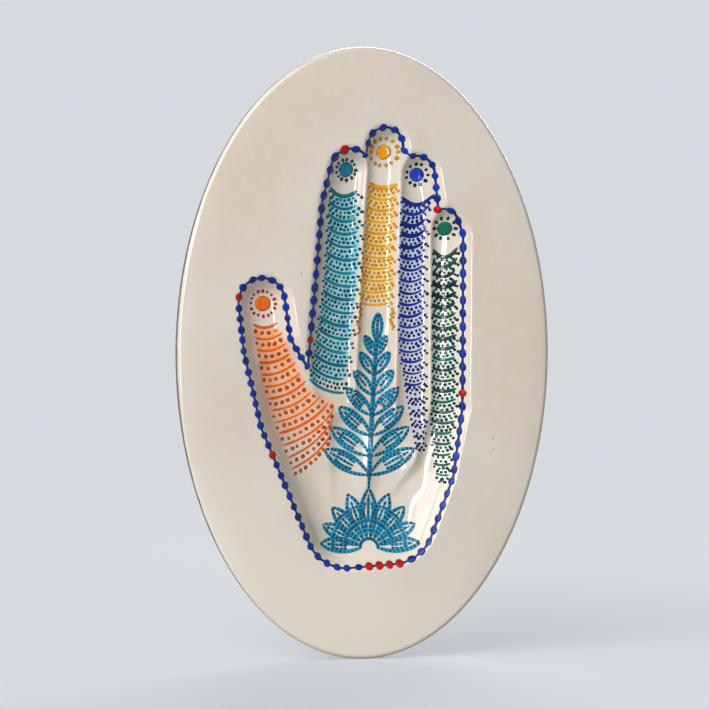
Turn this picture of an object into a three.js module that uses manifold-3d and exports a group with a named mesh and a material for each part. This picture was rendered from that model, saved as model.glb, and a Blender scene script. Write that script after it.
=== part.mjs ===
// Hand ex-voto: an oval wall plaque of glazed earthenware with a life-size hand pressed into its face.
// A string of enamel beads runs along the hollow's wall, and each fingertip holds an enamel disc.
// Millimetres. The plaque is modelled lying on its back, with x to the viewer's right, y up along the
// fingers and z out of the wall, and the group then stands it upright: +Z up, its face to -Y, and the
// origin at the middle of the wall plane behind it.

import * as THREE from "three";
import { mergeVertices } from "three/addons/utils/BufferGeometryUtils.js";
import Module from "manifold-3d";

const wasm = await Module();
wasm.setup();

// Plaque
const PLAQUE_HEIGHT = 255;
const PLAQUE_WIDTH = 157.5;
const SIDE_DRAFT = 1.2; // how far the side leans in towards the back
const FACE_EDGE_RADIUS = 2;
const BACK_EDGE_RADIUS = 2;
const FLOOR_UNDER_HAND = 3.6; // clay left under the deepest part of the hand

// Foot ring behind the plaque, with its two wire holes
const FOOT_HEIGHT = 6;
const FOOT_INSET = 16; // from the plaque's outline to the ring's outer foot
const FOOT_WIDTH = 9;
const FOOT_DRAFT = 1.5;
const WIRE_HOLE_DIAMETER = 3.2;
const WIRE_HOLE_ANGLE = 22; // degrees either side of the top

// Section of the hand hollow, which crosses the bead line half way down its straight wall
const BEAD_LINE_DEPTH = 2.9;
const WALL_SLOPE = 49; // degrees from the face
const WALL_FLAT = 1.5; // straight wall either side of the bead line
const LIP_ROUNDING = 0.8; // how far the lip starts outside the wall's own corner
const FINGER_DEPTH = 7.2;
const FINGER_ROUNDING = 4.2; // how far the floor's flat starts inside the wall's foot
const PALM_DEPTH = 9.4;
const PALM_ROUNDING = 11;

// The hand's bead line goes round circles, x, y and radius, that tapered strokes join in pairs
const CIRCLES = {
  thumb_tip: [-42.8, 22, 9.9],
  thumb_mid: [-40.4, 3, 10.3],
  thumb_root: [-36.6, -6.5, 11.8],
  thumb_ball: [-28.7, -25.5, 15.3],
  index_tip: [-5.2, 76.9, 8.5],
  index_mid: [-8.1, 62, 9.4],
  index_root: [-12.9, -22, 12],
  middle_tip: [9.4, 86.9, 7.4],
  middle_mid: [9.1, 79, 8.5],
  middle_root: [5, -34, 10.8],
  ring_tip: [22.5, 74.7, 7.8],
  ring_mid: [23.5, 61.5, 8.3],
  ring_root: [21.8, -36, 9.4],
  little_tip: [34, 53.9, 6.5],
  little_mid: [35.1, 48.5, 7.5],
  little_root: [35.1, -22.5, 7.2],
  heel_edge: [28.9, -49.2, 9.5],
  heel_left: [-7.1, -72, 17.3],
  heel_right: [11.9, -69.8, 18.2],
  palm_left: [-3, -32, 14],
  palm_right: [15, -38, 11],
};

// Strokes of the palm, by the circles that they join
const PALM = [
  ["thumb_root", "thumb_ball"],
  ["thumb_ball", "heel_left"],
  ["little_root", "heel_edge"],
  ["heel_edge", "heel_right"],
  ["heel_left", "heel_right"],
  ["heel_left", "palm_left"],
  ["heel_right", "palm_right"],
];

// Fingers, each from its tip through its middle to its root: how far the floor leans left as it goes in from
// the wall, the enamel's colour, and the places of the disc and the crescent
const FINGERS = [
  { name: "thumb", lean: 0, colour: 0xf0781e, disc: [-41.6, 21.1], crescent: [-40.3, 13.8] },
  { name: "index", lean: -0.28, colour: 0x1c8299, disc: [-6.6, 76.7], crescent: [-7.2, 67.8] },
  { name: "middle", lean: 0.15, colour: 0xf2b02a, disc: [9.4, 84.8], crescent: [9, 71.8] },
  { name: "ring", lean: 0, colour: 0x2440b8, disc: [23.4, 74.6], crescent: [23.2, 62.2] },
  { name: "little", lean: 0.38, colour: 0x1e7860, disc: [35.4, 52.1], crescent: [35.3, 43.5] },
];

// Enamel on the glaze
const ENAMEL_THICKNESS = 0.5;
const ENAMEL_GAP = 0.3;
const BEAD_FILL = 0.75; // share of its spacing that a blue bead covers
const BEAD_WIDTH = 3.1;
const THREAD_WIDTH = 0.9;
const RED_BEAD_DIAMETER = 3.4;
const RED_BEAD_PITCH = 4.3; // between red beads that lie side by side
const DISC_RADIUS = 2.9;
const CRESCENT_REACH = 0.7; // half its span, as a share of the finger's radius
const CRESCENT_SAG = 1.6;
const CRESCENT_THICKNESS = 1.7;

// Colours and gloss
const IVORY = 0xd8cec2;
const BEAD_BLUE = 0x233caa;
const BEAD_RED = 0xc41e1e;
const GLAZE_ROUGHNESS = 0.15;
const ENAMEL_ROUGHNESS = 0.25;

// Red beads in the order that the outline is walked: from the wrist up the little-finger side
const RED_BEADS = [
  { name: "little_side", near: [42, -16.6], count: 1 },
  { name: "ring_notch", near: [31.2, 59.4], count: 1 },
  { name: "index_tip", near: [-7.8, 85], count: 1 },
  { name: "index_side", near: [-22.7, 6], count: 1 },
  { name: "thumb_side", near: [-51.9, 24], count: 1 },
  { name: "thumb_ball", near: [-38.4, -41.7], count: 1 },
  { name: "wrist", near: [2.4, -88], count: 4 },
];

// Blue strings, each with its count of beads, that run up to the red bead of the same place in the list above
const STRINGS = [
  { name: "heel_right", beads: 14 },
  { name: "little_finger", beads: 14 },
  { name: "ring_and_middle", beads: 14 },
  { name: "index", beads: 14 },
  { name: "thumb_web", beads: 14 },
  { name: "thumb_ball", beads: 13 },
  { name: "heel_left", beads: 12 },
];

// Facets
const OVAL_SIDES = 88;
const EDGE_STEPS = 3;
const STROKE_ARC_STEPS = 10;
const LIP_STEPS = 2;
const FLOOR_STEPS = 4;
const BEAD_SIDES = 6;
const DISC_SIDES = 16;
const HOLE_SIDES = 16;
const CRESCENT_STEPS = 6;
const WALK_STEP = 0.5;
const SLOPE_NUDGE = 0.01;
const SETTLE_STEPS = 4;
const CUT_OVERRUN = 2; // how far cutting tools run past what they cut
const SLIVER = 0.05; // keeps cutting faces off the planes that they would share

// Worked out from the above
const FACE = FOOT_HEIGHT + PALM_DEPTH + FLOOR_UNDER_HAND;
const wallSlope = Math.tan(THREE.MathUtils.degToRad(WALL_SLOPE));
const lipCorner = BEAD_LINE_DEPTH / wallSlope;
const lipReach = lipCorner + LIP_ROUNDING;

// Solids from geometry, and back
function toSolid(geometry) {
  const bare = new THREE.BufferGeometry().setAttribute("position", geometry.getAttribute("position"));
  bare.setIndex(geometry.getIndex());
  const merged = mergeVertices(bare, 1e-5);
  const vertProperties = merged.getAttribute("position").array;
  const triVerts = new Uint32Array(merged.getIndex().array);
  return new wasm.Manifold(new wasm.Mesh({ numProp: 3, vertProperties, triVerts }));
}

function toGeometry(solid) {
  const mesh = solid.getMesh();
  const geometry = new THREE.BufferGeometry();
  geometry.setAttribute("position", new THREE.BufferAttribute(mesh.vertProperties, 3));
  geometry.setIndex(new THREE.BufferAttribute(mesh.triVerts, 1));
  return geometry;
}

function joined(solids) {
  return solids.reduce((whole, solid) => whole.add(solid));
}

// A closed skin over rings of equally many points, counter-clockwise seen from +z, flat at both ends
function loft(rings) {
  const sides = rings[0].length;
  const points = rings.flat();
  const faces = [];
  for (let k = 0; k + 1 < rings.length; k++) {
    for (let i = 0; i < sides; i++) {
      const a = k * sides + i;
      const b = k * sides + ((i + 1) % sides);
      faces.push(a, b, b + sides, a, b + sides, a + sides);
    }
  }
  const last = (rings.length - 1) * sides;
  for (let i = 1; i + 1 < sides; i++) {
    faces.push(0, i + 1, i, last, last + i, last + i + 1);
  }
  return new THREE.BufferGeometry().setFromPoints(points).setIndex(faces);
}

// The plaque's oval outline drawn in by an inset, at a height above the wall
function ovalRing(inset, z) {
  const ring = [];
  for (let i = 0; i < OVAL_SIDES; i++) {
    const turn = (i / OVAL_SIDES) * 2 * Math.PI;
    const x = (PLAQUE_WIDTH / 2 - inset) * Math.cos(turn);
    const y = (PLAQUE_HEIGHT / 2 - inset) * Math.sin(turn);
    ring.push(new THREE.Vector3(x, y, z));
  }
  return ring;
}

// Oval slab and foot ring: one section of inset and height, from the hollow of the back to the face
function slab() {
  const section = [
    [FOOT_INSET + FOOT_WIDTH + FOOT_DRAFT, FOOT_HEIGHT],
    [FOOT_INSET + FOOT_WIDTH, 0],
    [FOOT_INSET, 0],
    [FOOT_INSET - FOOT_DRAFT, FOOT_HEIGHT],
  ];
  for (let k = 0; k <= EDGE_STEPS; k++) {
    const turn = (k / EDGE_STEPS) * (Math.PI / 2);
    const inset = SIDE_DRAFT + BACK_EDGE_RADIUS * (1 - Math.sin(turn));
    section.push([inset, FOOT_HEIGHT + BACK_EDGE_RADIUS * (1 - Math.cos(turn))]);
  }
  for (let k = 0; k <= EDGE_STEPS; k++) {
    const turn = (k / EDGE_STEPS) * (Math.PI / 2);
    section.push([FACE_EDGE_RADIUS * (1 - Math.cos(turn)), FACE - FACE_EDGE_RADIUS * (1 - Math.sin(turn))]);
  }
  return toSolid(loft(section.map(([inset, z]) => ovalRing(inset, z))));
}

// A wire hole through the foot ring, pointing at the plaque's middle
function wireHole(side) {
  const angle = THREE.MathUtils.degToRad(WIRE_HOLE_ANGLE) * side;
  const inset = FOOT_INSET + FOOT_WIDTH / 2;
  const length = FOOT_WIDTH + 2 * FOOT_DRAFT + 2 * CUT_OVERRUN;
  const radius = WIRE_HOLE_DIAMETER / 2;
  const hole = new THREE.CylinderGeometry(radius, radius, length, HOLE_SIDES);
  hole.rotateZ(-angle);
  const x = (PLAQUE_WIDTH / 2 - inset) * Math.sin(angle);
  const y = (PLAQUE_HEIGHT / 2 - inset) * Math.cos(angle);
  return toSolid(hole.translate(x, y, FOOT_HEIGHT / 2));
}

// Section of a hollow as offset from the bead line (+ outside) and depth: lip, straight wall, rounded floor
function hollowSection(depth, rounding) {
  const lip = new THREE.QuadraticBezierCurve(
    new THREE.Vector2(lipReach, -SLIVER),
    new THREE.Vector2(lipCorner, 0),
    new THREE.Vector2(WALL_FLAT, BEAD_LINE_DEPTH - WALL_FLAT * wallSlope),
  );
  const floorCorner = (BEAD_LINE_DEPTH - depth) / wallSlope;
  const floor = new THREE.QuadraticBezierCurve(
    new THREE.Vector2(-WALL_FLAT, BEAD_LINE_DEPTH + WALL_FLAT * wallSlope),
    new THREE.Vector2(floorCorner, depth),
    new THREE.Vector2(floorCorner - rounding, depth),
  );
  return [...lip.getPoints(LIP_STEPS), ...floor.getPoints(FLOOR_STEPS)];
}

// A section's depth at an offset inside its lip
function depthAt(section, offset) {
  const next = section.findIndex((point) => point.x <= offset);
  if (next < 0) return section.at(-1).y;
  const outer = section[next - 1];
  const inner = section[next];
  return THREE.MathUtils.mapLinear(offset, outer.x, inner.x, outer.y, inner.y);
}

// Strokes of the hand, the fingers first
function strokeBetween(start, end, section, lean) {
  const [ax, ay, ar] = CIRCLES[start];
  const [bx, by, br] = CIRCLES[end];
  const length = Math.hypot(bx - ax, by - ay);
  return { ax, ay, ar, bx, by, br, length, dx: (bx - ax) / length, dy: (by - ay) / length, section, lean };
}

const fingerSection = hollowSection(FINGER_DEPTH, FINGER_ROUNDING);
const palmSection = hollowSection(PALM_DEPTH, PALM_ROUNDING);
const fingerStrokes = FINGERS.flatMap(({ name, lean }) => [
  strokeBetween(`${name}_tip`, `${name}_mid`, fingerSection, lean),
  strokeBetween(`${name}_mid`, `${name}_root`, fingerSection, lean),
]);
const palmStrokes = PALM.map(([start, end]) => strokeBetween(start, end, palmSection, 0));
const handStrokes = [...fingerStrokes, ...palmStrokes];

// A stroke's outline pushed out by an offset, and leaned aside below the straight wall: an arc round each end,
// joined by the two tangents
function strokeRing(stroke, offset, z) {
  const heading = Math.atan2(stroke.dy, stroke.dx);
  const tangent = Math.acos((stroke.ar - stroke.br) / stroke.length);
  const aside = stroke.lean * Math.max(0, -offset - WALL_FLAT);
  const ring = [];
  const arc = (x, y, radius, from, to) => {
    for (let i = 0; i <= STROKE_ARC_STEPS; i++) {
      const turn = from + ((to - from) * i) / STROKE_ARC_STEPS;
      ring.push(new THREE.Vector3(x - aside + radius * Math.cos(turn), y + radius * Math.sin(turn), z));
    }
  };
  arc(stroke.ax, stroke.ay, stroke.ar + offset, heading + tangent, heading + 2 * Math.PI - tangent);
  arc(stroke.bx, stroke.by, stroke.br + offset, heading - tangent, heading + tangent);
  return ring;
}

// The solid that a stroke presses out of the clay
function strokeHollow(stroke) {
  const deepest = SLIVER - Math.min(stroke.ar, stroke.br);
  const rings = [strokeRing(stroke, deepest, FACE - depthAt(stroke.section, deepest))];
  for (const point of stroke.section.toReversed()) {
    if (point.x > deepest + SLIVER) rings.push(strokeRing(stroke, point.x, FACE - point.y));
  }
  rings.push(strokeRing(stroke, lipReach, FACE + CUT_OVERRUN));
  return toSolid(loft(rings));
}

// Distance from the hand's bead line, negative inside the hand
function strokeDistance({ ax, ay, ar, br, length, dx, dy }, x, y) {
  const along = (x - ax) * dx + (y - ay) * dy;
  const across = Math.abs((y - ay) * dx - (x - ax) * dy);
  const taper = (ar - br) / length;
  const slant = Math.sqrt(1 - taper * taper);
  const place = along * slant - across * taper;
  if (place < 0) return Math.hypot(along, across) - ar;
  if (place > slant * length) return Math.hypot(along - length, across) - br;
  return across * slant + along * taper - ar;
}

function handDistance(x, y) {
  return Math.min(...handStrokes.map((stroke) => strokeDistance(stroke, x, y)));
}

// Walk round the bead line, counter-clockwise from the wrist
function walkBeadLine() {
  const slope = (x, y) => {
    const gx = handDistance(x + SLOPE_NUDGE, y) - handDistance(x - SLOPE_NUDGE, y);
    const gy = handDistance(x, y + SLOPE_NUDGE) - handDistance(x, y - SLOPE_NUDGE);
    return new THREE.Vector2(gx, gy).normalize();
  };
  const settle = (point) => {
    for (let i = 0; i < SETTLE_STEPS; i++) {
      point.addScaledVector(slope(point.x, point.y), -handDistance(point.x, point.y));
    }
    return point;
  };
  const [heelX, heelY, heelRadius] = CIRCLES.heel_left;
  const start = settle(new THREE.Vector2(heelX, heelY - heelRadius));
  const line = [start];
  let point = start;
  do {
    const out = slope(point.x, point.y);
    point = settle(new THREE.Vector2(point.x - out.y * WALK_STEP, point.y + out.x * WALK_STEP));
    line.push(point);
  } while (line.length < SETTLE_STEPS || point.distanceTo(start) > WALK_STEP);
  return line;
}

// Places on the closed bead line, by distance along it
const beadLine = walkBeadLine();
const beadPath = new THREE.Path(beadLine);
beadPath.closePath();
const beadRun = beadPath.getLength();

function onBeadLine(distance) {
  const centre = beadPath.getPoint(THREE.MathUtils.euclideanModulo(distance / beadRun, 1));
  const before = beadPath.getPoint(THREE.MathUtils.euclideanModulo((distance - WALK_STEP) / beadRun, 1));
  const after = beadPath.getPoint(THREE.MathUtils.euclideanModulo((distance + WALK_STEP) / beadRun, 1));
  return { centre, heading: after.sub(before).angle() };
}

function nearestOnBeadLine([x, y]) {
  const distances = beadLine.map((point) => Math.hypot(point.x - x, point.y - y));
  const nearest = distances.indexOf(Math.min(...distances));
  return nearest > 0 ? beadPath.getCurveLengths()[nearest - 1] : 0;
}

// Upright prisms through the face, to be trimmed to a layer of enamel
const PRISM_HEIGHT = PALM_DEPTH + 2 * CUT_OVERRUN;
const PRISM_MIDDLE = FACE + CUT_OVERRUN - PRISM_HEIGHT / 2;

function roundPrism(radius, sides) {
  return new THREE.CylinderGeometry(radius, radius, PRISM_HEIGHT, sides).rotateX(Math.PI / 2);
}

function beadPrism({ centre, heading }, length, width) {
  const bead = roundPrism(0.5, BEAD_SIDES).rotateZ(Math.PI / 2).scale(length, width, 1);
  return toSolid(bead.rotateZ(heading).translate(centre.x, centre.y, PRISM_MIDDLE));
}

function redBeadPrism(place, clearance = 0) {
  const across = RED_BEAD_DIAMETER + 2 * clearance;
  return beadPrism(place, across, across);
}

function threadPrism(from, to) {
  const thread = new THREE.BoxGeometry(from.distanceTo(to), THREAD_WIDTH, PRISM_HEIGHT);
  thread.rotateZ(Math.atan2(to.y - from.y, to.x - from.x));
  return toSolid(thread.translate((from.x + to.x) / 2, (from.y + to.y) / 2, PRISM_MIDDLE));
}

function discPrism([x, y]) {
  return toSolid(roundPrism(DISC_RADIUS, DISC_SIDES).translate(x, y, PRISM_MIDDLE));
}

// A crescent across a finger, from the finger's whole stroke and the crescent's place
function crescentPrism({ ar, dx, dy }, [x, y]) {
  const reach = CRESCENT_REACH * ar;
  const outline = new THREE.Shape();
  const outer = -CRESCENT_SAG - CRESCENT_THICKNESS;
  const inner = -CRESCENT_SAG + CRESCENT_THICKNESS;
  outline.moveTo(-reach, CRESCENT_SAG);
  outline.quadraticCurveTo(0, outer, reach, CRESCENT_SAG);
  outline.quadraticCurveTo(0, inner, -reach, CRESCENT_SAG);
  const options = { depth: PRISM_HEIGHT, bevelEnabled: false, curveSegments: CRESCENT_STEPS };
  const prism = new THREE.ExtrudeGeometry(outline, options).rotateZ(Math.atan2(dy, dx) + Math.PI / 2);
  return toSolid(prism.translate(x, y, PRISM_MIDDLE - PRISM_HEIGHT / 2));
}

// Plaque: slab and foot ring, less the wire holes and the hand
const hand = joined(handStrokes.map(strokeHollow));
const plaque = slab().subtract(wireHole(-1)).subtract(wireHole(1)).subtract(hand);
const plaqueGeometry = toGeometry(plaque);

// Enamel: what lies over the glaze between two copies of the plaque, raised by the gap and by the layer
const underEnamel = toSolid(plaqueGeometry.clone().translate(0, 0, ENAMEL_GAP));
const overEnamel = toSolid(plaqueGeometry.clone().translate(0, 0, ENAMEL_GAP + ENAMEL_THICKNESS));

function enamelled(prism) {
  return toGeometry(prism.intersect(overEnamel).subtract(underEnamel));
}

// Pieces
const exVoto = new THREE.Group();
exVoto.rotation.x = Math.PI / 2;

function addPiece(name, geometry, colour, roughness) {
  const material = new THREE.MeshStandardMaterial({ color: colour, roughness, metalness: 0 });
  const piece = new THREE.Mesh(geometry, material);
  piece.name = name;
  piece.geometry.computeVertexNormals();
  exVoto.add(piece);
}

addPiece("plaque_body", plaqueGeometry, IVORY, GLAZE_ROUGHNESS);

// Beads: each red group ends a blue string, and the next string starts after it
const reds = RED_BEADS.map(({ name, near, count }) => {
  const first = nearestOnBeadLine(near);
  return { name, count, first, last: first + (count - 1) * RED_BEAD_PITCH };
});

reds.forEach(({ name, count, first }) => {
  for (let k = 0; k < count; k++) {
    const label = count > 1 ? `red_bead_${name}_${k + 1}` : `red_bead_${name}`;
    const prism = redBeadPrism(onBeadLine(first + k * RED_BEAD_PITCH));
    addPiece(label, enamelled(prism), BEAD_RED, ENAMEL_ROUGHNESS);
  }
});

STRINGS.forEach(({ name, beads }, place) => {
  const start = reds.at(place - 1).last;
  const run = THREE.MathUtils.euclideanModulo(reds[place].first - start, beadRun);
  const gap = run / (beads + 1);
  const places = [];
  for (let i = 1; i <= beads; i++) places.push(onBeadLine(start + i * gap));
  const string = places.map((bead) => beadPrism(bead, BEAD_FILL * gap, BEAD_WIDTH));
  for (let i = 1; i < beads; i++) string.push(threadPrism(places[i - 1].centre, places[i].centre));
  const ends = [start, reds[place].first].map((distance) => redBeadPrism(onBeadLine(distance), ENAMEL_GAP));
  const clear = joined(string).subtract(joined(ends));
  addPiece(`bead_string_${name}`, enamelled(clear), BEAD_BLUE, ENAMEL_ROUGHNESS);
});

// Fingertip discs, and the crescent below each
FINGERS.forEach(({ name, lean, colour, disc, crescent }) => {
  const whole = strokeBetween(`${name}_tip`, `${name}_root`, fingerSection, lean);
  addPiece(`fingertip_disc_${name}`, enamelled(discPrism(disc)), colour, ENAMEL_ROUGHNESS);
  addPiece(`crescent_${name}`, enamelled(crescentPrism(whole, crescent)), colour, ENAMEL_ROUGHNESS);
});

export default exVoto;
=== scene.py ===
# Looks of the hand ex-voto: a glazed oval plaque with a hand pressed into its face, and enamel laid on it.
# Plan sizes are millimetres, x to the viewer's right and y up along the fingers, and "out" is the height
# above the wall. Blender gets metres, as (x, -out, y).

import math

import bpy
import numpy as np
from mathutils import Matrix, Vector


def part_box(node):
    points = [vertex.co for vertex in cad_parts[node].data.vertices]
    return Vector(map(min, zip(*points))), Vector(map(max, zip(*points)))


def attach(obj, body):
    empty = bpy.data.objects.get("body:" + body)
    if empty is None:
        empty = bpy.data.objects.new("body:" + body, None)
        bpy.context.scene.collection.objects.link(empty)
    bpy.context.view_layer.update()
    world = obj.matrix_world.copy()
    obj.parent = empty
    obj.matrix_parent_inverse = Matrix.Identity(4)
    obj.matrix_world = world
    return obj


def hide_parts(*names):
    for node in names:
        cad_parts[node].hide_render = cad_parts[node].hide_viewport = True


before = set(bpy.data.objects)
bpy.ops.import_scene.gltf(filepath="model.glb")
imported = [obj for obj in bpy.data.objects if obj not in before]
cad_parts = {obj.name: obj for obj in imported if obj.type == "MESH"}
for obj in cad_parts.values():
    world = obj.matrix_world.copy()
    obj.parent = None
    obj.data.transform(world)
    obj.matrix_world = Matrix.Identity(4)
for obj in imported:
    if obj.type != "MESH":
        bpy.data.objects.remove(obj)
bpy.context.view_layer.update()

MM = 0.001
CHANCE = np.random.default_rng(11)

# Plaque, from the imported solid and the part's own sizes
plaque_low, plaque_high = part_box("plaque_body")
HALF_WIDTH = plaque_high.x / MM
HALF_HEIGHT = plaque_high.z / MM
FACE = -plaque_low.y / MM
SIDE_DRAFT = 1.2
FACE_EDGE_RADIUS = 2
BACK_EDGE_RADIUS = 2
FOOT_HEIGHT = 6
FOOT_INSET = 16
FOOT_WIDTH = 9
FOOT_DRAFT = 1.5
FOOT_ROUNDING = 0.7
WIRE_HOLE_DIAMETER = 3.2
WIRE_HOLE_ANGLE = math.radians(22)

# Section of the hand hollow: a straight wall through the bead line, then a finger's floor or the palm's bowl
BEAD_LINE_DEPTH = 2.9
WALL_SLOPE = math.tan(math.radians(49))
WALL_FLAT = 1.5
LIP_DEPTH = 1.4  # the lip rounds off over this height either side of the face
FINGER_DEPTH = 7.2
LITTLE_DEPTH = 7.9
FINGER_ROUNDING = 4.2
PALM_DEPTH = 9.4
PALM_ROUNDING = 11
SECTION_POINTS = 24

# The hand's bead line goes round circles that tapered strokes join in pairs: x, y, radius, and how far the
# circle moves right and up, and shrinks by as much, for the hollow, so that the beads there lie on its lip
CIRCLES = {
    "thumb_tip": (-42.8, 22, 9.9, 1.4, -0.3),
    "thumb_mid": (-40.4, 3, 10.3, 1.5, 0),
    "thumb_root": (-36.6, -6.5, 11.8, 1.4, 0.3),
    "thumb_ball": (-28.7, -25.5, 15.3, 1.25, 0.7),
    "index_tip": (-5.2, 76.9, 8.5, 0.4, -0.7),
    "index_mid": (-8.1, 62, 9.4, 0.6, 0),
    "index_root": (-12.9, -22, 12, 0.6, 0),
    "middle_tip": (9.4, 86.9, 7.4, 0.3, -0.7),
    "middle_mid": (9.1, 79, 8.5, 0.3, 0),
    "middle_root": (5, -34, 10.8, 0, 0),
    "ring_tip": (22.5, 74.7, 7.8, 0, -0.6),
    "ring_mid": (23.5, 61.5, 8.3, 0, 0),
    "ring_root": (21.8, -36, 9.4, 0, 0),
    "little_tip": (34, 53.9, 6.5, 0, -0.6),
    "little_mid": (35.1, 48.5, 7.5, 0, 0),
    "little_root": (35.1, -22.5, 7.2, -0.2, 0),
    "heel_edge": (28.9, -49.2, 9.5, -0.9, 0.3),
    "heel_left": (-7.1, -72, 17.3, 0.9, 0.7),
    "heel_right": (11.9, -69.8, 18.2, -0.7, 0.7),
    "palm_left": (-3, -32, 14, 0, 0),
    "palm_right": (15, -38, 11, 0, 0),
}
PALM_STROKES = [
    ("thumb_root", "thumb_ball"),
    ("thumb_ball", "heel_left"),
    ("little_root", "heel_edge"),
    ("heel_edge", "heel_right"),
    ("heel_left", "heel_right"),
    ("heel_left", "palm_left"),
    ("heel_right", "palm_right"),
]
# How far the palm's floor and each finger's floor lean left as they go in
PALM_LEAN = 0.35
FINGER_LEANS = {"thumb": -0.2, "index": -0.3, "middle": 0.4, "ring": 0, "little": 0.48}
LEAN_ROUNDS = 3

# Softness of the fired surface
RIDGE_BLEND = 1.3  # how far neighbouring fingers melt into each other
SOFTNESS = 0.45  # spread of the glaze's own rounding
FACE_RIPPLE = 0.09
FACE_RIPPLE_LENGTHS = (34, 75)
HOLLOW_RIPPLE = 0.06
HOLLOW_RIPPLE_LENGTHS = (9, 20)
RIPPLE_WAVES = 7
RIM_CALM = 14  # the ripple fades out over this distance from the rim
RIM_ROLL = 7  # the face rolls off over this distance to its edge
RIM_DROP = 0.3

# Mesh fineness
FIELD_STEP = 0.4
FIELD_MARGIN = 3
DENSE_STEP = 0.63
DENSE_HALF_WIDTH = 55
DENSE_HALF_HEIGHT = 104
SPARSE_STEP = 2.6
STEP_GROWTH = 1.18
SLOPE_NUDGE = 0.05
HOLE_SIDES = 32
EDGE_POINTS = 7

# Beads
BEAD_FILL = 0.76  # share of its spacing that a blue bead covers
BEAD_WIDTH = 2.85
BEAD_LIFT = 0.26
BEAD_STRAY = 0.16
BEAD_TWIST = 0.08
BEAD_LENGTH_VARY = (0.92, 1.1)
BEAD_WIDTH_VARY = (0.88, 1.08)
BEAD_FULLNESS = (1.5, 2)  # from a lens to an oval
BEAD_TONES = (0.3, 0.9)
BEAD_BLUE = ((10, 64, 178), (0, 32, 116))  # pale and deep
SIDE_TAPER = 0.13  # how much wider beads are on the hollow's left side, and narrower on its right
THREAD_WIDTH = 0.95
THREAD_VARY = (0.8, 1.15)
THREAD_LIFT = 0.16
THREAD_STEP = 0.7
THREAD_TONE = 0.9
RED_BEAD_DIAMETER = 3.55
RED_BEAD_VARY = (0.97, 1.05)
RED_BEAD_BREADTH = 0.94  # width as a share of the length
RED_BEAD_FULLNESS = 1.9
RED_BEAD_TONE = 0.6
RED_BEAD_PITCH = 4.3
BEAD_RED = ((206, 16, 10), (168, 2, 6))
WALK_STEP = 0.5
WALK_LEAST = 4  # steps before the walk round the bead line may close
WALK_NUDGE = 0.01
SETTLE_STEPS = 4
# Red beads: name, where the first one lies, and how many lie side by side
RED_BEADS = [
    ("little_side", (42, -16.6), 1),
    ("ring_notch", (31.2, 59.4), 1),
    ("index_tip", (-7.8, 85), 1),
    ("index_side", (-22.7, 6), 1),
    ("thumb_side", (-51.9, 24), 1),
    ("thumb_ball", (-38.4, -41.7), 1),
    ("wrist", (2.4, -88), 4),
]
RED_BEAD_SIZES = {"little_side": 0.9, "ring_notch": 0.92, "index_tip": 1.25, "index_side": 0.9}
# Blue strings, each up to the red bead at the same place above: name, count of beads, and their breadth
STRINGS = [
    ("heel_right", 14, 1),
    ("little_finger", 14, 1),
    ("ring_and_middle", 14, 1.05),
    ("index", 14, 1.15),
    ("thumb_web", 14, 1.1),
    ("thumb_ball", 14, 1),
    ("heel_left", 14, 1),
]
# A notch that the string passes in a soft bend, which reaches this far either way
EASED_NOTCH = (17.5, 80.7)
EASE_REACH = 5
EASE_SHARE = 0.4  # how far the bend moves out of the notch
# Beads with a place of their own in or by a notch, counted along their string
NOTCH_BEADS = {
    "ring_and_middle": [(7, (17.1, 84.8)), (13, (1.1, 82.6))],
    "thumb_web": [(2, (-23.3, -5.5))],
}
NOTCH_REACH = 1.5
NOTCH_BEND = 0.5  # beads are smaller where the cosine of the line's bend is under this
NOTCH_SHRINK = 0.75


def between(bounds):
    """A random value within bounds"""
    return CHANCE.uniform(*bounds)


def srgb(red, green, blue):
    """A colour written as 0 to 255, for a shader socket"""
    shares = np.array([red, green, blue]) / 255
    linear = np.where(shares <= 0.04045, shares / 12.92, ((shares + 0.055) / 1.055) ** 2.4)
    return (*linear.tolist(), 1.0)


# Height of the glaze over the wall
def stroke_table(strokes, circles):
    """Strokes as one row each: start x, y and radius, end radius, length, and direction"""
    rows = []
    for start, end in strokes:
        ax, ay, ar = circles[start]
        bx, by, br = circles[end]
        length = math.hypot(bx - ax, by - ay)
        rows.append((ax, ay, ar, br, length, (bx - ax) / length, (by - ay) / length))
    return np.array(rows).T


def stroke_distances(table, x, y):
    """Distance from each stroke's outline, negative inside, on a last axis of its own"""
    ax, ay, ar, br, length, dx, dy = table
    x = np.asarray(x, float)[..., None] - ax
    y = np.asarray(y, float)[..., None] - ay
    along = x * dx + y * dy
    across = np.abs(y * dx - x * dy)
    taper = (ar - br) / length
    slant = np.sqrt(1 - taper * taper)
    place = along * slant - across * taper
    start = np.hypot(along, across) - ar
    end = np.hypot(along - length, across) - br
    side = across * slant + along * taper - ar
    return np.where(place < 0, start, np.where(place > slant * length, end, side))


def finger_strokes(finger):
    return [(f"{finger}_tip", f"{finger}_mid"), (f"{finger}_mid", f"{finger}_root")]


BEAD_CIRCLES = {name: row[:3] for name, row in CIRCLES.items()}
HOLLOW_CIRCLES = {
    name: (x + right, y + up, radius - math.hypot(right, up))
    for name, (x, y, radius, right, up) in CIRCLES.items()
}
PALM_TABLE = stroke_table(PALM_STROKES, HOLLOW_CIRCLES)
FINGER_TABLES = {finger: stroke_table(finger_strokes(finger), HOLLOW_CIRCLES) for finger in FINGER_LEANS}
HAND_STROKES = PALM_STROKES + [stroke for finger in FINGER_LEANS for stroke in finger_strokes(finger)]
HAND_TABLE = stroke_table(HAND_STROKES, BEAD_CIRCLES)


def leaning_distance(table, lean, x, y):
    """Distance from an outline, with the floor inside it shifted aside as it goes down"""
    distance = stroke_distances(table, x, y).min(axis=-1)
    for _ in range(LEAN_ROUNDS):
        aside = x + lean * np.maximum(0, -distance - WALL_FLAT)
        distance = stroke_distances(table, aside, y).min(axis=-1)
    return distance


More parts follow.
